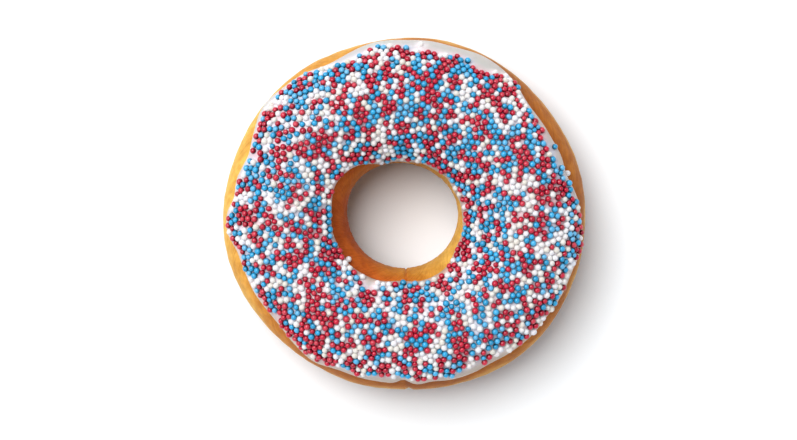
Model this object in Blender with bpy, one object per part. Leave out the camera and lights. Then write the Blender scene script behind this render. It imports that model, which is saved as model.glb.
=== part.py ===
"""A frosted ring doughnut: a fried dough ring, white icing over its top, and sugar pearls in the icing.

Metres, +Z up. The origin is on the surface that the ring stands on, under the middle of the ring.
Turn is the angle round the ring, anticlockwise from +X seen from above. Lean is the angle round the
dough's own section: 0 on the outer side, 90 degrees on the crest, 180 on the hole side.
"""

import math
import random

import bpy
from mathutils import Vector

MM = 0.001

# Dough ring, seen from above
OUTER_RADIUS = 44.6 * MM
HOLE_RADIUS = 13.5 * MM
# Each wave: how many times it repeats round the ring, its size, and the turn where it first peaks
OUTER_WAVES = ((1, 0.30 * MM, -39), (2, 0.63 * MM, -11), (3, 0.33 * MM, -47), (6, 0.20 * MM, 12))
HOLE_WAVES = ((1, 0.62 * MM, 204), (2, 0.42 * MM, -19), (3, 0.13 * MM, 20))

# Dough ring, in section
EQUATOR_HEIGHT = 13.0 * MM
CREST_RISE = 14.6 * MM
CREST_WAVES = ((2, 0.45 * MM, 60), (3, 0.30 * MM, 10), (5, 0.15 * MM, 31))
UNDERSIDE_DROP = 13.7 * MM
SECTION_POWER = 2.15

# Icing
ICING_THICKNESS = 1.4 * MM
ICING_GAP = 0.3 * MM
ICING_EDGE_POWER = 0.25
ICING_LIP = 0.20
ICING_LIP_POWER = 6
ICING_OUTER_EDGE = 42.6 * MM
ICING_HOLE_EDGE = 16.4 * MM
# Each run of the outer edge: its turn, its half width in degrees, and how far it reaches out
OUTER_RUNS = (
    (33, 24, -2.5 * MM), (58, 15, 0.9 * MM), (116, 10, -1.3 * MM), (143, 9, 1.5 * MM),
    (158, 24, -1.3 * MM), (183, 9, 1.4 * MM), (223, 24, -2.0 * MM), (237, 9, 1.3 * MM),
    (266, 23, -1.4 * MM), (324, 11, 0.5 * MM), (350, 13, 1.5 * MM),
)
HOLE_EDGE_WAVES = (
    (1, 2.53 * MM, 223), (2, 0.73 * MM, -9), (3, 0.42 * MM, 43), (4, 0.35 * MM, 53),
    (5, 0.30 * MM, 6),
)
HOLE_EDGE_ROOM = 0.8 * MM

# Sugar pearls
PEARL_COUNT = 232
PEARL_RADIUS = 0.76 * MM
PEARL_SPREAD = 0.05 * MM
PEARL_STAND = 0.5
PEARL_JITTER = 0.025
PEARL_EDGE_ROOM = 0.10
GOLDEN_TURN = math.pi * (3 - math.sqrt(5))
# Each bare patch of icing: x, y and radius
BARE_PATCHES = (
    (11.5 * MM, 41.0 * MM, 2.6 * MM), (16.5 * MM, 39.0 * MM, 3.0 * MM),
    (21.5 * MM, 36.3 * MM, 2.4 * MM), (-8.8 * MM, -17.0 * MM, 2.2 * MM),
    (18.6 * MM, -38.4 * MM, 2.4 * MM), (-32.0 * MM, -25.5 * MM, 1.8 * MM),
)
PEARL_SEED = 11

# Facets round the ring and round its section
DOUGH_FACETS = (60, 22)
ICING_FACETS = (80, 18)
NORMAL_STEP = math.radians(0.5)

CRUST = ("crust", (0.55, 0.24, 0.06), 0.55)
FROSTING = ("frosting", (0.80, 0.78, 0.78), 0.35)


def waves(turn, parts):
    """The sum of some waves at a turn."""
    return sum(size * math.cos(count * (turn - math.radians(peak))) for count, size, peak in parts)


def runs(turn, parts):
    """How far some runs reach at a turn, each fading out on both sides of its own turn."""
    reach = 0.0
    for middle, half_width, size in parts:
        away = (math.degrees(turn) - middle + 180) % 360 - 180
        reach += size * math.exp(-((away / half_width) ** 2))
    return reach


def rounded(value, power):
    """A sine or cosine bent into that of a superellipse, with its sign kept."""
    return math.copysign(abs(value) ** (2 / power), value)


def dough_middle(turn):
    """The middle and the half width of the dough's section at a turn."""
    outer = OUTER_RADIUS + waves(turn, OUTER_WAVES)
    hole = HOLE_RADIUS + waves(turn, HOLE_WAVES)
    return (outer + hole) / 2, (outer - hole) / 2


def dough_section(turn, lean):
    """The distance from the ring's axis, and the height, of the dough's surface."""
    middle, half_width = dough_middle(turn)
    radius = middle + half_width * rounded(math.cos(lean), SECTION_POWER)
    rise = rounded(math.sin(lean), SECTION_POWER)
    if rise > 0:
        return radius, EQUATOR_HEIGHT + rise * (CREST_RISE + waves(turn, CREST_WAVES))
    return radius, max(0.0, EQUATOR_HEIGHT + rise * UNDERSIDE_DROP)


def lean_at(turn, radius):
    """The lean where the upper half of the dough is that far from the ring's axis."""
    middle, half_width = dough_middle(turn)
    share = (radius - middle) / half_width
    return math.acos(math.copysign(abs(share) ** (SECTION_POWER / 2), share))


def off_dough(turn, lean, lift):
    """The point that stands off the dough by lift, square to its section."""
    before = Vector(dough_section(turn, lean - NORMAL_STEP))
    after = Vector(dough_section(turn, lean + NORMAL_STEP))
    along = (after - before).normalized()
    radius, height = Vector(dough_section(turn, lean)) + lift * Vector((along.y, -along.x))
    return Vector((radius * math.cos(turn), radius * math.sin(turn), height))


def icing_lean(turn, across):
    """The lean under the icing, where across runs from -1 at the hole edge to 1 at the outer edge."""
    middle, half_width = dough_middle(turn)
    outer = ICING_OUTER_EDGE + runs(turn, OUTER_RUNS)
    hole = ICING_HOLE_EDGE + waves(turn, HOLE_EDGE_WAVES)
    hole = max(hole, middle - half_width + HOLE_EDGE_ROOM)
    radius = (outer + hole) / 2 + across * (outer - hole) / 2
    return lean_at(turn, radius)


def icing_lift(across):
    """How far the icing's upper face stands off the dough, with a round lip at both edges."""
    fullness = max(0.0, 1 - across**2) ** ICING_EDGE_POWER
    return ICING_GAP + ICING_THICKNESS * fullness * (1 + ICING_LIP * across**ICING_LIP_POWER)


def ring_of(name, facets, place):
    """A torus whose points are each placed again, by their turn and by the angle round their section."""
    bpy.ops.mesh.primitive_torus_add(
        major_segments=facets[0], minor_segments=facets[1], major_radius=1.0, minor_radius=0.5
    )
    ring = bpy.context.object
    ring.name = ring.data.name = name
    for vertex in ring.data.vertices:
        x, y, z = vertex.co
        vertex.co = place(math.atan2(y, x), math.atan2(z, math.hypot(x, y) - 1.0))
    ring.data.shade_smooth()
    return ring


def dough_point(turn, lean):
    """A point of the dough's surface."""
    radius, height = dough_section(turn, lean)
    return Vector((radius * math.cos(turn), radius * math.sin(turn), height))


def icing_point(turn, angle):
    """A point of the icing: its upper face for angles above 0, and its lower face for the rest."""
    across = math.cos(angle)
    lift = icing_lift(across) if angle > 0 else ICING_GAP
    return off_dough(turn, icing_lean(turn, across), lift)


def is_bare(point):
    """Whether a point lies over a bare patch of the icing."""
    return any(math.hypot(point.x - x, point.y - y) < radius for x, y, radius in BARE_PATCHES)


def pearl_places(icing):
    """The centre, outward direction and radius of each pearl, spread evenly by the golden angle."""
    draw = random.Random(PEARL_SEED)
    inner = (ICING_HOLE_EDGE / ICING_OUTER_EDGE) ** 2
    places = []
    for index in range(PEARL_COUNT):
        turn = index * GOLDEN_TURN + draw.uniform(-PEARL_JITTER, PEARL_JITTER)
        share = inner + (1 - inner) * (index + 0.5) / PEARL_COUNT
        across = (math.sqrt(share) - math.sqrt(inner)) / (1 - math.sqrt(inner)) * 2 - 1
        across = across * (1 - PEARL_EDGE_ROOM) + draw.uniform(-PEARL_JITTER, PEARL_JITTER)
        radius = PEARL_RADIUS + draw.uniform(-PEARL_SPREAD, PEARL_SPREAD)
        turn = (turn + math.pi) % (2 * math.pi) - math.pi
        aim = off_dough(turn, icing_lean(turn, across), icing_lift(across))
        _, foot, outward, _ = icing.closest_point_on_mesh(aim)
        if not is_bare(foot):
            places.append((foot + PEARL_STAND * radius * outward, outward, radius))
    return places


def fuse_pearls(icing):
    """Joins the pearls to the icing as one solid."""
    pearls = bpy.data.collections.new("pearls")
    bpy.context.scene.collection.children.link(pearls)
    bpy.context.view_layer.update()
    bpy.ops.mesh.primitive_ico_sphere_add(subdivisions=1, radius=1.0)
    pattern = bpy.context.object
    for centre, outward, radius in pearl_places(icing):
        pearl = pattern.copy()
        pearl.location = centre
        pearl.rotation_euler = outward.to_track_quat("Z", "Y").to_euler()
        pearl.scale = (radius, radius, radius)
        pearls.objects.link(pearl)
    bpy.data.objects.remove(pattern)
    join = icing.modifiers.new("join pearls", "BOOLEAN")
    join.operation = "UNION"
    join.operand_type = "COLLECTION"
    join.collection = pearls
    join.solver = "MANIFOLD"
    bpy.context.view_layer.objects.active = icing
    bpy.ops.object.modifier_apply(modifier=join.name)
    for pearl in list(pearls.objects):
        bpy.data.objects.remove(pearl)
    bpy.data.collections.remove(pearls)


def finish_of(name, colour, roughness):
    """A plain Principled material."""
    material = bpy.data.materials.new(name)
    material.use_nodes = True
    shader = material.node_tree.nodes["Principled BSDF"]
    shader.inputs["Base Color"].default_value = (*colour, 1.0)
    shader.inputs["Roughness"].default_value = roughness
    shader.inputs["Metallic"].default_value = 0.0
    return material


def file_under(collection, piece, finish):
    """Moves a piece into the object's collection and gives it its material."""
    for holder in list(piece.users_collection):
        holder.objects.unlink(piece)
    collection.objects.link(piece)
    piece.data.materials.clear()
    piece.data.materials.append(finish_of(*finish))


def main():
    for old in list(bpy.data.objects):
        bpy.data.objects.remove(old)
    doughnut = bpy.data.collections.new("frosted_doughnut")
    bpy.context.scene.collection.children.link(doughnut)
    dough = ring_of("dough", DOUGH_FACETS, dough_point)
    file_under(doughnut, dough, CRUST)
    icing = ring_of("icing", ICING_FACETS, icing_point)
    fuse_pearls(icing)
    file_under(doughnut, icing, FROSTING)


main()
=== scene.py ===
"""The looks of a frosted ring doughnut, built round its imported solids.

Metres, +Z up, with the origin under the middle of the ring. Turn is the angle round the ring,
anticlockwise from +X seen from above. Lean is the angle round the dough's own section: 0 on the outer
side, 90 degrees on the crest, 180 on the hole side. Across runs over the icing, from -1 at its hole
edge to 1 at its outer edge. The dough and the icing have the shape of the solids, and fine unevenness
on top of it.
"""

import math
import random

import bmesh
import bpy
import numpy as np
from mathutils import Matrix, Vector, kdtree, noise


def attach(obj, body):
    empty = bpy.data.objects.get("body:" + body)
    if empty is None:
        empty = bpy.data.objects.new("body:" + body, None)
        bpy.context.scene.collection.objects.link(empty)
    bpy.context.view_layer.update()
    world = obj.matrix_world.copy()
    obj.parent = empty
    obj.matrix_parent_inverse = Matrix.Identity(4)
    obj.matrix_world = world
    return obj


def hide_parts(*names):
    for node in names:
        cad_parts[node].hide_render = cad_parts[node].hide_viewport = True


MM = 0.001
# Keeps a division by a distance of nothing away
TINY = 1e-9

# Dough ring, seen from above
OUTER_RADIUS = 44.6 * MM
HOLE_RADIUS = 13.5 * MM
# Each wave: how many times it repeats round the ring, its size, and the turn where it first peaks
OUTER_WAVES = ((1, 0.30 * MM, -39), (2, 0.63 * MM, -11), (3, 0.33 * MM, -47), (6, 0.20 * MM, 12))
HOLE_WAVES = ((1, 0.62 * MM, 204), (2, 0.42 * MM, -19), (3, 0.13 * MM, 20))

# Dough ring, in section
EQUATOR_HEIGHT = 13.0 * MM
CREST_RISE = 14.6 * MM
CREST_WAVES = ((2, 0.45 * MM, 60), (3, 0.30 * MM, 10), (5, 0.15 * MM, 31))
UNDERSIDE_DROP = 13.7 * MM
SECTION_POWER = 2.15
NORMAL_STEP = math.radians(0.5)

# Icing
ICING_THICKNESS = 1.4 * MM
ICING_GAP = 0.3 * MM
ICING_EDGE_POWER = 0.25
ICING_LIP = 0.20
ICING_LIP_POWER = 6
ICING_OUTER_EDGE = 42.6 * MM
ICING_HOLE_EDGE = 16.4 * MM
ICING_TOP = ICING_GAP + ICING_THICKNESS
# Each run of the outer edge: its turn, its half width in degrees, and how far it reaches out
OUTER_RUNS = (
    (33, 24, -2.5 * MM), (58, 15, 0.9 * MM), (116, 10, -1.3 * MM), (143, 9, 1.5 * MM),
    (158, 24, -1.3 * MM), (183, 9, 1.4 * MM), (223, 24, -2.0 * MM), (237, 9, 1.3 * MM),
    (266, 23, -1.4 * MM), (324, 11, 0.5 * MM), (350, 13, 1.5 * MM),
)
HOLE_EDGE_WAVES = (
    (1, 2.53 * MM, 223), (2, 0.73 * MM, -9), (3, 0.42 * MM, 43), (4, 0.35 * MM, 53),
    (5, 0.30 * MM, 6),
)
HOLE_EDGE_ROOM = 0.8 * MM

# Fine unevenness that the solids leave out, as waves and runs like those above
OUTER_EDGE_RIPPLES = ((9, 0.16 * MM, 20), (14, 0.12 * MM, 5), (23, 0.08 * MM, 3))
OUTER_EDGE_NICKS = (
    (14, 5, -0.7 * MM), (110, 8, -0.4 * MM), (123, 6, 0.4 * MM), (159, 4, -0.7 * MM),
    (168, 3, 0.4 * MM), (175, 3, -0.6 * MM), (192, 4, -0.6 * MM), (228, 4, 0.4 * MM),
    (269.5, 2.2, -0.9 * MM), (275, 3, 0.6 * MM), (300, 5, -0.5 * MM), (342, 6, -0.5 * MM),
)
HOLE_EDGE_RIPPLES = ((7, 0.14 * MM, 40), (12, 0.10 * MM, 11))
# The icing's lower face lies this far inside the dough
ICING_SINK = -0.4 * MM
# Each noise: its height, the size of its features and its seed, which shifts it
NOISE_SHIFT = (17.3, 5.9, 11.1)
ICING_SWELL = (0.10 * MM, 7.0 * MM, 5)
DOUGH_SWELL = (0.22 * MM, 12.0 * MM, 1)
DOUGH_BLISTERS = (0.06 * MM, 2.4 * MM, 2)
UNDERSIDE_DENTS = (0.8 * MM, 14.0 * MM, 3)
# Upright puckers in a band round the middle of the dough
PUCKER_SEED = 4
PUCKER_DEPTH = 0.10 * MM
PUCKER_WIDTH = 2.2 * MM
PUCKER_LENGTH = 9.0 * MM
PUCKER_BAND = 6.0 * MM
# Each crease across the dough: its turn, its half width in degrees, and its depth
CREASES = ((271.5, 0.9, 0.5 * MM),)
# Painted shade in the creases: how deep a crease is where its painted shade makes the crust twice as brown
CREASE_SHADE_DEPTH = 1.0 * MM
# How brown the crust is on the outer side of the ring and on its hole side, as waves, where 1 is dark. The
# waves are partly uneven frying and partly painted light and shade: paler where the crust faces the light,
# darker where it faces away
OUTER_BROWNING_AND_PAINTED_LIGHT = ((0, 0.60, 0), (1, 0.48, -20), (2, 0.19, 68), (3, 0.06, 260))
HOLE_BROWNING_AND_PAINTED_LIGHT = ((0, 0.48, 0), (1, 0.58, 187), (2, 0.11, 208))
# Painted shade on the crust right beside the icing: how much browner it is, how far that reaches under its
# lip, and beyond it
ICING_EDGE_SHADE = 0.35
ICING_EDGE_SHADE_START = 1.3 * MM
ICING_EDGE_SHADE_WIDTH = 0.8 * MM
# The browning that is stored as 1
MOST_BROWN = 1.5

# Sugar pearls: the first ones lie where the solids have theirs, and the rest fill the room between
FIXED_COUNT = 232
PEARL_COUNT = 2365
PEARL_RADIUS = 0.76 * MM
PEARL_SPREAD = 0.08 * MM
# How far a pearl's centre stands off the icing, in radii
PEARL_STAND = 0.42
PEARL_JITTER = 0.025
PEARL_EDGE_ROOM = 0.10
PEARL_UNEVEN = 0.05
PEARL_SEGMENTS = (12, 8)
GOLDEN_TURN = math.pi * (3 - math.sqrt(5))
# Each bare patch of icing: x, y and radius
BARE_PATCHES = (
    (11.5 * MM, 41.0 * MM, 2.6 * MM), (16.5 * MM, 39.0 * MM, 3.0 * MM),
    (21.5 * MM, 36.3 * MM, 2.4 * MM), (-8.8 * MM, -17.0 * MM, 2.2 * MM),
    (18.6 * MM, -38.4 * MM, 2.4 * MM), (-32.0 * MM, -25.5 * MM, 1.8 * MM),
)
PEARL_SEED = 11
# Random seats: how many are tried for each pearl, and the share of them that is thinned out, by how
# much of the icing a seat stands for
ROUGH_TRIES = 8
WIDEST_SHARE = 0.98
# Settling: its steps, how many of them use the same near pairs, and how near pearls are for a pair
SETTLE_STEPS = 110
PAIR_REFRESH = 7
PAIR_REACH = 2.4 * MM
# How near two pearls may come, as a share of touching, at the first step and at the last
TOUCH = (1.16, 0.96)
PARAMETER_STEP = 1e-4
MOST_ACROSS = 0.97
# Steps round the ring and over the icing that measure its edges
EDGE_STEPS = (361, 41)
# How far inside the icing's edges the pearls' centres stay, and how much more at some turns outside
OUTER_ROOM = (0.52 * MM, 1.30 * MM)
HOLE_ROOM = (0.0, 0.70 * MM)
BARE_RUNS = (
    (24, 9, 1.6 * MM), (50, 5, -1.0 * MM), (62, 6, 2.9 * MM), (80, 10, 2.3 * MM), (107, 9, 0.9 * MM),
    (124, 7, -0.5 * MM), (182, 8, -0.5 * MM), (203, 7, -0.5 * MM), (225, 8, -0.4 * MM), (263, 5, 0.9 * MM),
    (295, 9, 0.9 * MM), (324, 15, -0.7 * MM), (353, 9, -0.9 * MM),
)
# A pearl that still overlaps another by this share of its width is raised, at most by this much
CROWDED = 0.10
MOST_LIFT = 0.6 * MM
# Each pearl that lies alone: its turn, its distance from the ring's axis, and its colour
DOUGH_STRAYS = ((14, 40.9 * MM, "white"), (219, 18.3 * MM, "white"))
ICING_STRAYS = (
    (73.6, 38.9 * MM, "blue"), (67.6, 39.6 * MM, "blue"), (57.2, 40.0 * MM, "white"),
    (24.1, 39.3 * MM, "blue"), (16.3, 39.2 * MM, "blue"),
)
# Clumps of one colour: their size, how much they count beside chance, and a noise seed for the first
CLUMP_SIZE = 2.6 * MM
CLUMP_WEIGHT = 0.60
CLUMP_SEED = 20
# What is added to each colour's vote, to get its share of the pearls right
COLOUR_LEAN = {"red": 0.055, "blue": -0.01, "white": -0.04}

# Facets round the ring and round its section
DOUGH_FACETS = (256, 128)
ICING_FACETS = (256, 64)

# Crust. Colours are linear here and below
CRUST_LIGHT = (0.80, 0.47, 0.095)
CRUST_GOLD = (0.64, 0.26, 0.034)
# Each step of browning, and the colours of the outer side and of the hole side at those steps. The hole
# side's darker colours are redder, as painted shade
BROWN_STEPS = (0.0, 0.33, 0.67, 1.0)
CRUST_OUTSIDE = (CRUST_LIGHT, CRUST_GOLD, (0.47, 0.150, 0.012), (0.29, 0.075, 0.008))
CRUST_INSIDE = (CRUST_LIGHT, CRUST_GOLD, (0.60, 0.135, 0.020), (0.42, 0.078, 0.014))
CRUST_UNDER = (0.34, 0.12, 0.022)
CRUST_HOLE_UNDER = (0.16, 0.068, 0.020)
CRUST_BAND = (0.84, 0.55, 0.16)
BAND_STRENGTH = 0.7
UNDER_STRENGTH = 0.9
# Levels are heights as shares of the dough's: where the pale band starts, is full and ends, where the
# darker underside ends, how much lower it ends in the hole, and where the streaks fade out downwards
DOUGH_HEIGHT = 28.5 * MM
BAND_LEVELS = (0.33, 0.40, 0.48, 0.62)
UNDER_LEVELS = (0.12, 0.37)
HOLE_UNDER_DROP = 0.10
STREAK_LEVELS = (0.45, 0.75)
# Each texture: its scale, its tints by the noise's value, and its bump as strength and height. The broad
# one has no tints, but changes the browning and makes the levels waver
BROAD_SCALE = 70.0
BROAD_BROWNING = 0.6
BROAD_WAVER = 8.0 * MM
FINE_SCALE = 420.0
FINE_TINTS = ((0.35, (0.84, 0.76, 0.68)), (0.65, (1.06, 1.06, 1.06)))
FINE_BUMP = (0.5, 0.5 * MM)
SPECK_SCALE = 1500.0
SPECK_BUMP = (0.35, 0.15 * MM)
STREAK_TINTS = ((0.38, (0.87, 0.80, 0.71)), (0.58, (1.05, 1.05, 1.05)))
STREAK_BUMP = (0.3, 0.3 * MM)
# The streaks' size, how many radians they slant in a metre of height, how far they wander and fade
STREAK_WIDTH = 0.9 * MM
STREAK_LENGTH = 4.0 * MM
STREAK_SLANT = 35.0
STREAK_WANDER = 0.30
STREAK_FADE = 0.85

# Icing
PATCH_SCALE = 160.0
PATCH_TINTS = ((0.40, (0.490, 0.478, 0.430)), (0.62, (0.510, 0.465, 0.455)))
RIPPLE_SCALE = 300.0
RIPPLE_BUMP = (0.30, 0.4 * MM)
GRAIN_SCALE = 2600.0
GRAIN_BUMP = (0.15, 0.08 * MM)
# The crust that shows faintly through the icing near its edges, with painted shade that makes it strongest
# on the side away from the light: how much, as waves, and how far in
CRUST_THROUGH_AND_SHADE = (0.48, 0.28, 0.14)
THIN_ICING_AND_SHADE = ((0, 0.30, 0), (1, 0.30, -60))
THIN_WIDTH = 1.6 * MM
# The icing between the pearls: how many of them tint it, how far off, how strongly, and the colour it is
# painted near them. The tint is partly dye bleeding from the pearls and partly painted bounce light from
# them. The colour near them is painted light that brightens the shade between them
DYE_AND_BOUNCE_PEARLS = 3
DYE_AND_BOUNCE_REACH = 1.3 * MM
DYE_AND_BOUNCE_STRENGTH = 0.43
ICING_PAINTED_LIGHT = (0.93, 0.79, 0.83)

# Pearls
PEARL_COLOURS = {
    "red": (0.62, 0.006, 0.038),
    "blue": (0.030, 0.42, 0.77),
    "white": (0.93, 0.885, 0.892),
}
# The colours of the darkest and of the palest pearls
PEARL_DARKEST = {
    "red": (0.42, 0.004, 0.026),
    "blue": (0.021, 0.294, 0.54),
    "white": (0.85, 0.79, 0.70),
}
PEARL_PALEST = {
    "red": (0.63, 0.040, 0.070),
    "blue": (0.16, 0.49, 0.78),
    "white": (0.92, 0.90, 0.95),
}
# Where the darkest, the middle and the palest colour lie among all pearls, from 0 to 1
CHANCE_STEPS = (0.0, 0.55, 1.0)
# How much light passes into the shell
PEARL_GLOW = {"red": 0.0, "blue": 0.0, "white": 1.0}
# Painted shade on each pearl: how much of its colour it shows at its side and at its top, and where between
# foot and top. Red and blue pearls are painted darker towards their foot, white ones darker towards their
# top
PEARL_SHADE = {"red": (0.05, 1.0), "blue": (0.07, 1.0), "white": (1.0, 0.86)}
SHADE_STEPS = (0.48, 0.90)
# How glossy each pearl is at its side and at its top, and where between foot and top
PEARL_GLOSS = {"red": (0.0, 1.0), "blue": (0.0, 1.0), "white": (0.0, 0.25)}
GLOSS_STEPS = (0.50, 0.85)
MOTTLE_SCALE = 2200.0
MOTTLE_TINTS = ((0.3, (0.90, 0.90, 0.90)), (0.7, (1.0, 1.0, 1.0)))
MOTTLE_BUMP = (0.20, 0.05 * MM)

# The sockets of a Mix node for its share and two colours, and for its result
MIX_INPUTS = (0, 6, 7)
MIX_OUTPUT = 2

# Floor
FLOOR_COLOUR = (0.962, 0.97, 0.978)
FLOOR_SIZE = 4.0

# Camera and light. The photograph is 797 pixels wide, at 0.25 mm for a pixel
IMAGE_WIDTH = 797 * 0.25 * MM
CAMERA_DISTANCE = 0.9
CAMERA_AIM = (-1.5 * MM, -1.5 * MM)
SENSOR_WIDTH = 36.0
# The key light's turn, elevation and spread are in degrees
KEY_TURN = 138
KEY_ELEVATION = 63
KEY_SPREAD = 46
KEY_STRENGTH = 3.2
# The fill light fades between two sines of the elevation that it comes from, to a share overhead
FILL_STRENGTH = 0.60
FILL_COLOUR = (0.89, 0.98, 1.06)
FILL_FADE = (0.72, 0.92)
FILL_OVERHEAD = 0.12


def waves(turn, parts):
    """The sum of some waves at each turn."""
    return sum(size * np.cos(count * (turn - math.radians(peak))) for count, size, peak in parts)


def runs(turn, parts):
    """How far some runs reach at each turn, each fading out on both sides of its own turn."""
    reach = np.zeros_like(turn)
    for middle, half_width, size in parts:
        away = (np.degrees(turn) - middle + 180) % 360 - 180
        reach += size * np.exp(-((away / half_width) ** 2))
    return reach


def rounded(value):
    """A sine or cosine bent into that of a superellipse, with its sign kept."""
    return np.copysign(np.abs(value) ** (2 / SECTION_POWER), value)


def dough_middle(turn):
    """The middle and the half width of the dough's section at each turn."""
    outer = OUTER_RADIUS + waves(turn, OUTER_WAVES)
    hole = HOLE_RADIUS + waves(turn, HOLE_WAVES)
    return (outer + hole) / 2, (outer - hole) / 2


def dough_section(turn, lean):
    """The distance from the ring's axis, and the height, of the dough's surface."""
    middle, half_width = dough_middle(turn)
    rise = rounded(np.sin(lean))
    upper = EQUATOR_HEIGHT + rise * (CREST_RISE + waves(turn, CREST_WAVES))
    lower = np.maximum(0.0, EQUATOR_HEIGHT + rise * UNDERSIDE_DROP)
    return middle + half_width * rounded(np.cos(lean)), np.where(rise > 0, upper, lower)


def lean_at(turn, radius):
    """The lean where the upper half of the dough is that far from the ring's axis."""
    middle, half_width = dough_middle(turn)
    share = np.clip((radius - middle) / half_width, -1.0, 1.0)
    return np.arccos(np.copysign(np.abs(share) ** (SECTION_POWER / 2), share))


def off_dough(turn, lean, lift):
    """The points that stand off the dough by lift, square to its section."""
    before = np.array(dough_section(turn, lean - NORMAL_STEP))
    after = np.array(dough_section(turn, lean + NORMAL_STEP))
    along_radius, along_height = (after - before) / np.hypot(*(after - before))
    radius, height = dough_section(turn, lean)
    radius = radius + lift * along_height
    height = height - lift * along_radius
    return np.stack([radius * np.cos(turn), radius * np.sin(turn), height], axis=-1)


def icing_edges(turn):
    """How far from the ring's axis the icing starts and ends on the dough."""
    middle, half_width = dough_middle(turn)
    outer = ICING_OUTER_EDGE + runs(turn, OUTER_RUNS + OUTER_EDGE_NICKS)
    outer = outer + waves(turn, OUTER_EDGE_RIPPLES)
    hole = ICING_HOLE_EDGE + waves(turn, HOLE_EDGE_WAVES) + waves(turn, HOLE_EDGE_RIPPLES)
    return np.maximum(hole, middle - half_width + HOLE_EDGE_ROOM), outer


def icing_lean(turn, across):
    """The lean under the icing."""
    hole, outer = icing_edges(turn)
    return lean_at(turn, (outer + hole) / 2 + across * (outer - hole) / 2)


def icing_lift(across):
    """How far the icing's upper face stands off the dough, with a round lip at both edges."""
    fullness = np.maximum(0.0, 1 - across**2) ** ICING_EDGE_POWER
    return ICING_GAP + ICING_THICKNESS * fullness * (1 + ICING_LIP * across**ICING_LIP_POWER)


def smooth_noise(points, kind):
    """Smooth noise at each point: kind gives its height, the size of its features and its seed."""
    height, size, seed = kind
    shift = Vector([seed * step for step in NOISE_SHIFT])
    return height * np.array([noise.noise(Vector(point) / size + shift) for point in points])


def points_of(piece):
    """The x, y and z of all points of a piece."""
    points = np.empty(len(piece.data.vertices) * 3)
    piece.data.vertices.foreach_get("co", points)
    return points.reshape(-1, 3).T


def store(piece, name, values):
    """Stores a number for each point of a piece."""
    piece.data.attributes.new(name, "FLOAT", "POINT").data.foreach_set("value", values)


def ring_of(name, facets, place):
    """A torus whose points are each placed again, by their turn and by the angle round their section."""
    bpy.ops.mesh.primitive_torus_add(
        major_segments=facets[0], minor_segments=facets[1], major_radius=1.0, minor_radius=0.5
    )
    ring = bpy.context.object
    ring.name = ring.data.name = name
    x, y, z = points_of(ring)
    placed = place(np.arctan2(y, x), np.arctan2(z, np.hypot(x, y) - 1.0))
    ring.data.vertices.foreach_set("co", placed.ravel())
    ring.data.shade_smooth()
    return ring


def creased(turn, height):
    """How deep the creases across the dough are, which fade out below its middle."""
    return runs(turn, CREASES) * np.clip(height / EQUATOR_HEIGHT, 0.0, 1.0) ** 2


def dough_points(turn, lean):
    """The dough's surface with its swells, blisters, puckers round the middle and dented underside."""
    plain = off_dough(turn, lean, 0.0)
    height = plain[:, 2]
    relief = smooth_noise(plain, DOUGH_SWELL) + smooth_noise(plain, DOUGH_BLISTERS)
    band = np.exp(-(((height - EQUATOR_HEIGHT) / PUCKER_BAND) ** 2))
    across = OUTER_RADIUS / PUCKER_WIDTH
    folds = np.stack([np.cos(turn) * across, np.sin(turn) * across, height / PUCKER_LENGTH], axis=-1)
    relief += band * smooth_noise(folds, (PUCKER_DEPTH, 1.0, PUCKER_SEED))
    under = np.clip(-np.sin(lean), 0.0, 1.0) ** 2
    relief -= under * np.maximum(0.0, smooth_noise(plain, UNDERSIDE_DENTS))
    relief -= creased(turn, height)
    points = off_dough(turn, lean, relief)
    points[:, 2] = np.maximum(points[:, 2], 0.0)
    return points


def brown_with_painted_light(ring):
    """Stores at each point of the dough how brown it is, with painted light and shade in it, and how far on
    the hole side, from 0 to 1.
    """
    x, y, z = points_of(ring)
    turn = np.arctan2(y, x)
    distance = np.hypot(x, y)
    middle, half_width = dough_middle(turn)
    inward = 0.5 - np.clip((distance - middle) / half_width, -1.0, 1.0) / 2
    # Paler where the crust faces the light and darker where it faces away: partly uneven frying, partly
    # painted light and shade
    shares = (1 - inward) * waves(turn, OUTER_BROWNING_AND_PAINTED_LIGHT) + inward * waves(turn, HOLE_BROWNING_AND_PAINTED_LIGHT)
    hole, outer = icing_edges(turn)
    bare = np.maximum(distance - outer, hole - distance)
    # Painted shade on the upper half right beside the icing's edges, and in the creases
    painted_shade = ICING_EDGE_SHADE * np.exp(-np.maximum(bare - ICING_EDGE_SHADE_START, 0.0) / ICING_EDGE_SHADE_WIDTH) * (z > EQUATOR_HEIGHT)
    painted_shade += creased(turn, z) / CREASE_SHADE_DEPTH
    store(ring, "browning_and_painted_light", shares * (1 + painted_shade) / MOST_BROWN)
    store(ring, "inward", inward)


def icing_points(turn, angle):
    """The icing's upper face for angles above 0, and its lower face, sunk in the dough, for the rest."""
    across = np.cos(angle)
    lean = icing_lean(turn, across)
    upper = icing_lift(across) + smooth_noise(off_dough(turn, lean, 0.0), ICING_SWELL) * (1 - across**2)
    return off_dough(turn, lean, np.where(angle > 0, upper, ICING_SINK))


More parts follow.
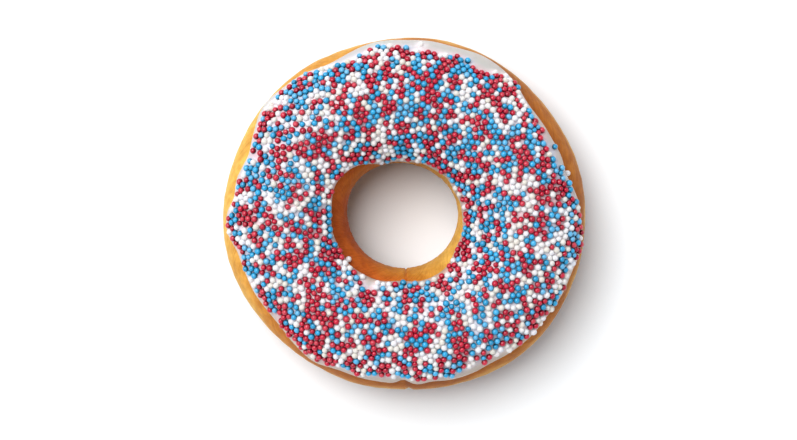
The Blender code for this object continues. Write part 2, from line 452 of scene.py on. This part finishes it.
def fixed_seats(draw):
    """The turn and across of the pearls that the solids have, spread evenly by the golden angle."""
    inner = (ICING_HOLE_EDGE / ICING_OUTER_EDGE) ** 2
    seats = []
    for index in range(FIXED_COUNT):
        turn = index * GOLDEN_TURN + draw.uniform(-PEARL_JITTER, PEARL_JITTER)
        share = inner + (1 - inner) * (index + 0.5) / FIXED_COUNT
        across = (math.sqrt(share) - math.sqrt(inner)) / (1 - math.sqrt(inner)) * 2 - 1
        across = across * (1 - PEARL_EDGE_ROOM) + draw.uniform(-PEARL_JITTER, PEARL_JITTER)
        # The solids draw a pearl's size here, and the places after it depend on that draw
        draw.uniform(-1, 1)
        turn = (turn + math.pi) % (2 * math.pi) - math.pi
        seats.append((turn, across))
    seats = np.array(seats)
    points = off_dough(seats[:, 0], icing_lean(seats[:, 0], seats[:, 1]), icing_lift(seats[:, 1]))
    return seats[~np.any(clear_patches(points), axis=1)]


def pearl_points(turn, across, radius):
    """The centre of a pearl of each radius that sits in the icing."""
    return off_dough(turn, icing_lean(turn, across), icing_lift(across) + PEARL_STAND * radius)


def steps_of(turn, across, radius):
    """How the pearls' centres move for a small step in turn, and for one in across."""
    here = pearl_points(turn, across, radius)
    by_turn = (pearl_points(turn + PARAMETER_STEP, across, radius) - here) / PARAMETER_STEP
    inward = np.where(across > 0, -PARAMETER_STEP, PARAMETER_STEP)
    by_across = (pearl_points(turn, across + inward, radius) - here) / inward[:, None]
    return here, by_turn, by_across


def icing_reach():
    """Turns round the ring, and how near to its axis and how far from it the icing reaches there."""
    turn = np.linspace(-math.pi, math.pi, EDGE_STEPS[0])
    across = np.linspace(-1.0, 1.0, EDGE_STEPS[1])
    turns, steps = (grid.ravel() for grid in np.meshgrid(turn, across, indexing="ij"))
    points = off_dough(turns, icing_lean(turns, steps), icing_lift(steps))
    distance = np.hypot(points[:, 0], points[:, 1]).reshape(EDGE_STEPS)
    return turn, distance.min(axis=1), distance.max(axis=1)


def between(limits, share):
    """The value that lies at a share of the way from one limit to the other."""
    return limits[0] + share * (limits[1] - limits[0])


def keep_inside(points, reach, share):
    """The push on each pearl that comes nearer to an edge of the icing than its share of the room."""
    turns, nearest, farthest = reach
    distance = np.hypot(points[:, 0], points[:, 1])
    turn = np.arctan2(points[:, 1], points[:, 0])
    inner = np.interp(turn, turns, nearest) + between(HOLE_ROOM, share)
    outer = np.interp(turn, turns, farthest) - between(OUTER_ROOM, share) - runs(turn, BARE_RUNS)
    push = np.clip(inner - distance, 0.0, None) - np.clip(distance - outer, 0.0, None)
    return push[:, None] * points * (1.0, 1.0, 0.0) / distance[:, None]


def rough_seats(generator, count, reach):
    """Random seats that are as dense on the icing's steep sides as on its crest."""
    turn = generator.uniform(-math.pi, math.pi, count * ROUGH_TRIES)
    across = generator.uniform(-MOST_ACROSS, MOST_ACROSS, count * ROUGH_TRIES)
    points, by_turn, by_across = steps_of(turn, across, np.full_like(turn, PEARL_RADIUS))
    area = np.linalg.norm(np.cross(by_turn, by_across), axis=1)
    push = keep_inside(points, reach, 0.0) + clear_patches(points)
    chance = generator.uniform(0, np.quantile(area, WIDEST_SHARE), len(area))
    kept = (chance < area) & ~np.any(push, axis=1)
    return np.stack([turn[kept], across[kept]], axis=-1)[:count]


def near_pairs(points):
    """Every pair of points that are near one another."""
    squares = (points**2).sum(axis=1)
    apart = squares[:, None] + squares[None, :] - 2 * points @ points.T
    first, second = np.nonzero(np.triu(apart < PAIR_REACH**2, 1))
    return first, second


def overlaps(points, radius, pairs, touch):
    """How far each pair of pearls comes nearer than touch allows, and the direction between them."""
    first, second = pairs
    gap = points[first] - points[second]
    apart = np.linalg.norm(gap, axis=1) + TINY
    return (radius[first] + radius[second]) * touch - apart, gap / apart[:, None]


def clear_patches(points):
    """The push on each pearl that lies over a bare patch of the icing."""
    push = np.zeros_like(points)
    for x, y, size in BARE_PATCHES:
        away = points[:, :2] - (x, y)
        apart = np.linalg.norm(away, axis=1) + TINY
        push[:, :2] += away / apart[:, None] * np.clip(size - apart, 0.0, None)[:, None]
    return push


def settle(seats, radius, fixed, reach, share):
    """Lets the pearls push one another apart over the icing until few of them overlap."""
    turn, across = seats[:, 0].copy(), seats[:, 1].copy()
    for step in range(SETTLE_STEPS):
        points, by_turn, by_across = steps_of(turn, across, radius)
        if step % PAIR_REFRESH == 0:
            pairs = near_pairs(points)
        depth, direction = overlaps(points, radius, pairs, between(TOUCH, step / SETTLE_STEPS))
        shove = np.clip(depth, 0.0, None)[:, None] * direction / 2
        push = clear_patches(points) + keep_inside(points, reach, share)
        np.add.at(push, pairs[0], shove)
        np.add.at(push, pairs[1], -shove)
        turn_turn = (by_turn**2).sum(axis=1)
        across_across = (by_across**2).sum(axis=1)
        turn_across = (by_turn * by_across).sum(axis=1)
        along_turn = (push * by_turn).sum(axis=1)
        along_across = (push * by_across).sum(axis=1)
        spread = turn_turn * across_across - turn_across**2
        turn_move = (along_turn * across_across - along_across * turn_across) / spread
        across_move = (along_across * turn_turn - along_turn * turn_across) / spread
        turn_move[fixed] = 0.0
        across_move[fixed] = 0.0
        turn = turn + turn_move
        across = np.clip(across + across_move, -MOST_ACROSS, MOST_ACROSS)
    return turn, across


def standing(turn, lean, lift):
    """The centre and the outward direction of pearls that stand off the dough by lift."""
    points = off_dough(turn, lean, lift)
    outward = points - off_dough(turn, lean, 0.0)
    return points, outward / np.linalg.norm(outward, axis=1)[:, None]


def lifted(turn, across, radius):
    """The pearls' centres and outward directions, with crowded ones raised until they ride on others."""
    lift = icing_lift(across) + PEARL_STAND * radius
    points, outward = standing(turn, icing_lean(turn, across), lift)
    pairs = near_pairs(points)
    depth, _ = overlaps(points, radius, pairs, TOUCH[1])
    raised = np.zeros(len(points))
    for a, b, over in zip(*pairs, depth):
        width = 2 * radius[b]
        if over > CROWDED * width and raised[a] == 0:
            raised[b] = min(MOST_LIFT, max(raised[b], math.sqrt(over * width * 2)))
    return points + raised[:, None] * outward, outward


def colours_of(points, generator):
    """A colour name for each pearl, with some of each colour lying in clumps."""
    names = list(PEARL_COLOURS)
    votes = [
        smooth_noise(points, (CLUMP_WEIGHT, CLUMP_SIZE, CLUMP_SEED + index))
        + generator.uniform(0, 1, len(points)) + COLOUR_LEAN[name]
        for index, name in enumerate(names)
    ]
    return [names[pick] for pick in np.argmax(votes, axis=0)]


def pearls():
    """The centre, outward direction, radius and colour name of every pearl."""
    draw = random.Random(PEARL_SEED)
    generator = np.random.default_rng(PEARL_SEED)
    reach = icing_reach()
    first = fixed_seats(draw)
    seats = np.concatenate([first, rough_seats(generator, PEARL_COUNT - len(first), reach)])
    fixed = np.arange(len(seats)) < len(first)
    radius = PEARL_RADIUS + generator.uniform(-PEARL_SPREAD, PEARL_SPREAD, len(seats))
    turn, across = settle(seats, radius, fixed, reach, generator.uniform(0, 1, len(seats)))
    points, outward = lifted(turn, across, radius)
    names = colours_of(points, generator)
    on_icing = ICING_TOP + PEARL_STAND * PEARL_RADIUS
    for strays, lift in ((DOUGH_STRAYS, PEARL_RADIUS), (ICING_STRAYS, on_icing)):
        for turn_degrees, distance, name in strays:
            stray = np.array([math.radians(turn_degrees)])
            place, direction = standing(stray, lean_at(stray, distance), lift)
            points = np.concatenate([points, place])
            outward = np.concatenate([outward, direction])
            radius = np.append(radius, PEARL_RADIUS)
            names.append(name)
    return points, outward, radius, np.array(names)


def sphere_pattern():
    """The points and faces of one round pearl of radius 1, in the same order on each run."""
    ball = bmesh.new()
    around, upward = PEARL_SEGMENTS
    bmesh.ops.create_uvsphere(ball, u_segments=around, v_segments=upward, radius=1.0)
    points = np.array([vertex.co for vertex in ball.verts])
    faces = []
    for face in ball.faces:
        loop = [vertex.index for vertex in face.verts]
        lowest = loop.index(min(loop))
        faces.append(loop[lowest:] + loop[:lowest])
    ball.free()
    return points, sorted(faces)


def pearls_piece(name, points, outward, radius, generator):
    """All pearls of one colour as one piece, each turned at random and a little out of round.

    The attribute rise runs from -1 at each pearl's foot to 1 at its top.
    """
    pattern, faces = sphere_pattern()
    places = []
    rises = []
    all_faces = []
    for index, (centre, direction, size) in enumerate(zip(points, outward, radius)):
        axis = Vector(generator.normal(size=3)).normalized()
        spin = np.array(Matrix.Rotation(generator.uniform(0, math.pi), 3, axis))
        stretch = 1 + generator.uniform(-PEARL_UNEVEN, PEARL_UNEVEN, 3)
        shape = (pattern * stretch) @ spin.T
        places.append(centre + size * shape)
        rises.append(shape @ direction)
        start = index * len(pattern)
        all_faces.extend([[start + corner for corner in face] for face in faces])
    mesh = bpy.data.meshes.new(name)
    mesh.from_pydata(np.concatenate(places).tolist(), [], all_faces)
    mesh.shade_smooth()
    piece = bpy.data.objects.new(name, mesh)
    store(piece, "rise", np.concatenate(rises))
    bpy.context.scene.collection.objects.link(piece)
    return piece


def dye_and_bounce_light(icing, points, names):
    """Stores the tint that the icing takes from the pearls near each of its points, and how strongly: partly
    their dye and partly painted bounce light.
    """
    tree = kdtree.KDTree(len(points))
    for index, point in enumerate(points):
        tree.insert(Vector(point), index)
    tree.balance()
    colours = np.array([PEARL_COLOURS[name] for name in names])
    tints = []
    for vertex in icing.data.vertices:
        near = tree.find_n(vertex.co, DYE_AND_BOUNCE_PEARLS)
        weights = np.exp([-((apart / DYE_AND_BOUNCE_REACH) ** 2) for _, _, apart in near])
        tint = weights @ colours[[index for _, index, _ in near]] / weights.sum()
        tints.append((*tint, min(1.0, weights.sum())))
    stored = icing.data.attributes.new("dye_and_bounce_light", "FLOAT_COLOR", "POINT")
    stored.data.foreach_set("color", np.array(tints).ravel())


def thin_out_and_shade(icing):
    """Stores how much of the crust shows through the icing at each of its points, with painted shade that is
    strongest on the side away from the light.
    """
    x, y, _ = points_of(icing)
    turn = np.arctan2(y, x)
    distance = np.hypot(x, y)
    turns, nearest, farthest = icing_reach()
    from_hole = distance - np.interp(turn, turns, nearest)
    from_outside = np.interp(turn, turns, farthest) - distance
    inside = np.minimum(from_hole, from_outside)
    store(icing, "thin_and_shade", waves(turn, THIN_ICING_AND_SHADE) * np.clip(1 - inside / THIN_WIDTH, 0.0, 1.0))


def grey(level):
    """A colour without a hue."""
    return (level, level, level)


class Recipe:
    """A material or world that is put together from nodes."""

    def __init__(self, owner, shader="Principled BSDF"):
        self.owner = owner
        self.owner.use_nodes = True
        self.tree = self.owner.node_tree
        self.shader = self.tree.nodes[shader]

    def fill(self, socket, value):
        """Links another node's socket to an input, or sets the input's value."""
        if isinstance(value, bpy.types.NodeSocket):
            self.tree.links.new(value, socket)
        else:
            socket.default_value = value

    def node(self, kind, inputs=None, **settings):
        """Adds a node with its settings and inputs."""
        made = self.tree.nodes.new(kind)
        for key, value in settings.items():
            setattr(made, key, value)
        for key, value in (inputs or {}).items():
            self.fill(made.inputs[key], value)
        return made

    def noise(self, where, scale, detail=3.0, roughness=0.5):
        """A noise texture's value at some coordinates."""
        inputs = {"Vector": where, "Scale": scale, "Detail": detail, "Roughness": roughness}
        return self.node("ShaderNodeTexNoise", inputs).outputs["Fac"]

    def stored(self, name):
        """A number that is stored for each point of the piece."""
        return self.node("ShaderNodeAttribute", attribute_name=name).outputs["Fac"]

    def ramp(self, value, *stops):
        """A value turned into a colour by stops of place and colour."""
        made = self.node("ShaderNodeValToRGB", {"Fac": value})
        ramp = made.color_ramp
        ramp.elements[0].position, ramp.elements[0].color = stops[0][0], (*stops[0][1], 1.0)
        ramp.elements[1].position, ramp.elements[1].color = stops[-1][0], (*stops[-1][1], 1.0)
        for place, colour in stops[1:-1]:
            ramp.elements.new(place).color = (*colour, 1.0)
        return made.outputs["Color"]

    def mix(self, share, first, second, blend="MIX"):
        """Two colours mixed by a share."""
        made = self.node("ShaderNodeMix", data_type="RGBA", blend_type=blend)
        for index, value in zip(MIX_INPUTS, (share, first, second)):
            self.fill(made.inputs[index], value)
        return made.outputs[MIX_OUTPUT]

    def math(self, operation, first, second, clamp=False):
        """Two numbers put together."""
        return self.node(
            "ShaderNodeMath", {0: first, 1: second}, operation=operation, use_clamp=clamp
        ).outputs[0]

    def wound_round(self, where, height, wander):
        """Coordinates that run round the ring and slant over its height, stretched into streaks."""
        flat = self.node("ShaderNodeVectorMath", {0: where, 1: (1.0, 1.0, 0.0)}, operation="MULTIPLY")
        around = self.node("ShaderNodeVectorMath", {0: flat.outputs[0]}, operation="NORMALIZE")
        slant = self.math("ADD", self.math("MULTIPLY", height, STREAK_SLANT), wander)
        turned = self.node(
            "ShaderNodeVectorRotate", {"Vector": around.outputs[0], "Angle": slant}, rotation_type="Z_AXIS"
        )
        closer = self.node(
            "ShaderNodeVectorMath", {0: turned.outputs[0], "Scale": OUTER_RADIUS / STREAK_WIDTH},
            operation="SCALE",
        )
        along = self.math("DIVIDE", height, STREAK_LENGTH)
        up = self.node("ShaderNodeCombineXYZ", {"Z": along})
        return self.node(
            "ShaderNodeVectorMath", {0: closer.outputs[0], 1: up.outputs[0]}, operation="ADD"
        ).outputs[0]

    def bump(self, height, strength, distance, normal=None):
        """A bump from a height, on top of another bump if there is one."""
        inputs = {"Height": height, "Strength": strength, "Distance": distance}
        if normal:
            inputs["Normal"] = normal
        return self.node("ShaderNodeBump", inputs).outputs["Normal"]

    def set(self, **values):
        """Sets or links the shader's inputs, named with underscores for spaces."""
        for key, value in values.items():
            self.fill(self.shader.inputs[key.replace("_", " ")], value)


def crust_material():
    """Fried dough: golden brown faces with painted light and shade, a pale band round the outside, slanting
    streaks and fine blisters.
    """
    recipe = Recipe(bpy.data.materials.new("fried_crust"))
    where = recipe.node("ShaderNodeTexCoord").outputs["Object"]
    height = recipe.node("ShaderNodeSeparateXYZ", {"Vector": where}).outputs["Z"]
    browning_and_painted_light = recipe.stored("browning_and_painted_light")
    inward = recipe.stored("inward")
    broad = recipe.noise(where, BROAD_SCALE, 2.0)
    fine = recipe.noise(where, FINE_SCALE, 4.0, 0.6)
    speck = recipe.noise(where, SPECK_SCALE, 2.0)
    wander = recipe.math("MULTIPLY", broad, STREAK_WANDER)
    streak = recipe.noise(recipe.wound_round(where, height, wander), 1.0, 3.0, 0.6)
    swing = recipe.math("SUBTRACT", broad, 0.5)
    depth = recipe.math("ADD", browning_and_painted_light, recipe.math("MULTIPLY", swing, BROAD_BROWNING))
    # The crust's colour by its browning, with the painted light and shade in it
    outside = recipe.ramp(depth, *zip(BROWN_STEPS, CRUST_OUTSIDE))
    inside = recipe.ramp(depth, *zip(BROWN_STEPS, CRUST_INSIDE))
    faces = recipe.mix(inward, outside, inside)
    wavy = recipe.math("ADD", height, recipe.math("MULTIPLY", swing, BROAD_WAVER))
    level = recipe.math("DIVIDE", wavy, DOUGH_HEIGHT)
    lowered = recipe.math("SUBTRACT", level, recipe.math("MULTIPLY", inward, HOLE_UNDER_DROP))
    under = recipe.ramp(lowered, *zip(UNDER_LEVELS, (grey(UNDER_STRENGTH), grey(0.0))))
    lower = recipe.mix(inward, (*CRUST_UNDER, 1.0), (*CRUST_HOLE_UNDER, 1.0))
    colour = recipe.mix(under, faces, lower)
    full = grey(BAND_STRENGTH)
    band = recipe.ramp(level, *zip(BAND_LEVELS, (grey(0.0), full, full, grey(0.0))))
    band = recipe.math("MULTIPLY", band, recipe.math("SUBTRACT", 1.0, inward, clamp=True))
    colour = recipe.mix(band, colour, (*CRUST_BAND, 1.0))
    colour = recipe.mix(1.0, colour, recipe.ramp(fine, *FINE_TINTS), "MULTIPLY")
    lines = recipe.mix(1.0, colour, recipe.ramp(streak, *STREAK_TINTS), "MULTIPLY")
    clear = recipe.ramp(level, *zip(STREAK_LEVELS, (grey(1.0 - STREAK_FADE), grey(1.0))))
    colour = recipe.mix(clear, colour, lines)
    normal = recipe.bump(fine, *FINE_BUMP)
    normal = recipe.bump(streak, *STREAK_BUMP, normal)
    normal = recipe.bump(speck, *SPECK_BUMP, normal)
    recipe.set(
        Base_Color=colour, Normal=normal, Roughness=0.60, Specular_IOR_Level=0.12, Subsurface_Weight=0.10,
        Subsurface_Radius=(1.0, 0.40, 0.15), Subsurface_Scale=1.5 * MM,
    )
    return recipe.owner


def icing_material():
    """White sugar icing, smooth and a little glossy, with a faint rose tint in places, and painted light and
    painted bounce light near the pearls.
    """
    recipe = Recipe(bpy.data.materials.new("sugar_icing"))
    where = recipe.node("ShaderNodeTexCoord").outputs["Object"]
    patches = recipe.noise(where, PATCH_SCALE, 3.0)
    ripples = recipe.noise(where, RIPPLE_SCALE, 3.0)
    grains = recipe.noise(where, GRAIN_SCALE, 2.0)
    tint = recipe.node("ShaderNodeAttribute", attribute_name="dye_and_bounce_light")
    near = tint.outputs["Alpha"]
    # Painted light near the pearls, where their shade falls, then a tint that is partly their dye and partly
    # painted bounce light
    colour = recipe.mix(near, recipe.ramp(patches, *PATCH_TINTS), (*ICING_PAINTED_LIGHT, 1.0))
    colour = recipe.mix(recipe.math("MULTIPLY", near, DYE_AND_BOUNCE_STRENGTH), colour, tint.outputs["Color"])
    # Crust seen through the thin icing near its edges, strongest as painted shade on the side away from the
    # light
    colour = recipe.mix(recipe.stored("thin_and_shade"), colour, (*CRUST_THROUGH_AND_SHADE, 1.0))
    normal = recipe.bump(ripples, *RIPPLE_BUMP)
    normal = recipe.bump(grains, *GRAIN_BUMP, normal)
    recipe.set(
        Base_Color=colour, Normal=normal, Roughness=0.30, Subsurface_Weight=0.40,
        Subsurface_Radius=(1.0, 0.85, 0.80), Subsurface_Scale=1.0 * MM,
        Coat_Weight=0.15, Coat_Roughness=0.12,
    )
    return recipe.owner


def pearl_material(name, colour):
    """A sugar pearl's shell, where each pearl is a little lighter or darker than the next."""
    recipe = Recipe(bpy.data.materials.new(f"sugar_shell_{name}"))
    where = recipe.node("ShaderNodeTexCoord").outputs["Object"]
    chance = recipe.node("ShaderNodeNewGeometry").outputs["Random Per Island"]
    tints = (PEARL_DARKEST[name], colour, PEARL_PALEST[name])
    tint = recipe.ramp(chance, *zip(CHANCE_STEPS, tints))
    mottle = recipe.noise(where, MOTTLE_SCALE, 2.0)
    skin = recipe.mix(1.0, tint, recipe.ramp(mottle, *MOTTLE_TINTS), "MULTIPLY")
    above_foot = recipe.math("ADD", recipe.math("MULTIPLY", recipe.stored("rise"), 0.5), 0.5)
    # Painted shade, from each pearl's foot to its top
    shade = recipe.ramp(above_foot, *zip(SHADE_STEPS, map(grey, PEARL_SHADE[name])))
    skin = recipe.mix(1.0, skin, shade, "MULTIPLY")
    gloss = recipe.ramp(above_foot, *zip(GLOSS_STEPS, map(grey, PEARL_GLOSS[name])))
    recipe.set(
        Base_Color=skin, Normal=recipe.bump(mottle, *MOTTLE_BUMP), Roughness=0.30,
        Specular_IOR_Level=0.03, Subsurface_Weight=PEARL_GLOW[name],
        Subsurface_Radius=(1.0, 0.9, 0.9), Subsurface_Scale=1.0 * MM,
        Coat_Weight=gloss, Coat_Roughness=0.14, Coat_IOR=1.55,
    )
    return recipe.owner


def floor_material():
    """Plain white paper."""
    recipe = Recipe(bpy.data.materials.new("plain_floor"))
    recipe.set(Base_Color=(*FLOOR_COLOUR, 1.0), Roughness=0.9, Specular_IOR_Level=0.0)
    return recipe.owner


def dress(piece, material, slot, *nodes):
    """Gives a piece its material and its place in the model."""
    piece.data.materials.clear()
    piece.data.materials.append(material)
    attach(piece, "root")
    if nodes:
        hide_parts(*nodes)


def fill_light():
    """A soft fill from all sides, darker straight overhead."""
    recipe = Recipe(bpy.data.worlds.new("fill"), "Background")
    direction = recipe.node("ShaderNodeTexCoord").outputs["Generated"]
    rise = recipe.node("ShaderNodeSeparateXYZ", {"Vector": direction}).outputs["Z"]
    overhead = tuple(channel * FILL_OVERHEAD for channel in FILL_COLOUR)
    recipe.set(
        Color=recipe.ramp(rise, (FILL_FADE[0], FILL_COLOUR), (FILL_FADE[1], overhead)),
        Strength=FILL_STRENGTH,
    )
    return recipe.owner


def set_stage():
    """A floor, a key light from the upper left, a soft fill and a camera straight overhead."""
    bpy.ops.mesh.primitive_plane_add(size=FLOOR_SIZE)
    floor = bpy.context.object
    floor.name = "floor"
    floor.data.materials.append(floor_material())
    key = bpy.data.lights.new("key", "SUN")
    key.energy = KEY_STRENGTH
    key.angle = math.radians(KEY_SPREAD)
    lamp = bpy.data.objects.new("key", key)
    bpy.context.scene.collection.objects.link(lamp)
    turn, elevation = math.radians(KEY_TURN), math.radians(KEY_ELEVATION)
    towards = Vector((
        math.cos(elevation) * math.cos(turn), math.cos(elevation) * math.sin(turn), math.sin(elevation)
    ))
    lamp.rotation_euler = towards.to_track_quat("Z", "Y").to_euler()
    scene = bpy.context.scene
    scene.world = fill_light()
    scene.view_settings.view_transform = "Standard"
    camera = bpy.data.cameras.new("camera")
    camera.sensor_width = SENSOR_WIDTH
    camera.lens = SENSOR_WIDTH * CAMERA_DISTANCE / IMAGE_WIDTH
    eye = bpy.data.objects.new("camera", camera)
    eye.location = (*CAMERA_AIM, EQUATOR_HEIGHT + CAMERA_DISTANCE)
    scene.collection.objects.link(eye)
    scene.camera = eye


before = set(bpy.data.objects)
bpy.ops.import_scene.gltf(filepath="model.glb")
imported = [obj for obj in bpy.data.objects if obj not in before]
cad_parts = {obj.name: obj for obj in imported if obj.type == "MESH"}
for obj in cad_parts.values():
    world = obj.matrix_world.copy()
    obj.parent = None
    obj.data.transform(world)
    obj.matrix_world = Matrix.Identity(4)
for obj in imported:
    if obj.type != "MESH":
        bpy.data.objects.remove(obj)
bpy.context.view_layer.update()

dough = ring_of("dough_ring", DOUGH_FACETS, dough_points)
brown_with_painted_light(dough)
dress(dough, crust_material(), "crust", "dough")
icing = ring_of("icing_skin", ICING_FACETS, icing_points)
dress(icing, icing_material(), "frosting", "icing")
pearl_centres, pearl_outward, pearl_sizes, pearl_names = pearls()
dye_and_bounce_light(icing, pearl_centres, pearl_names)
thin_out_and_shade(icing)
shapes = np.random.default_rng(PEARL_SEED + 1)
for colour_name, colour in PEARL_COLOURS.items():
    chosen = pearl_names == colour_name
    piece = pearls_piece(
        f"pearls_{colour_name}", pearl_centres[chosen], pearl_outward[chosen], pearl_sizes[chosen], shapes
    )
    dress(piece, pearl_material(colour_name, colour), "frosting")
set_stage()
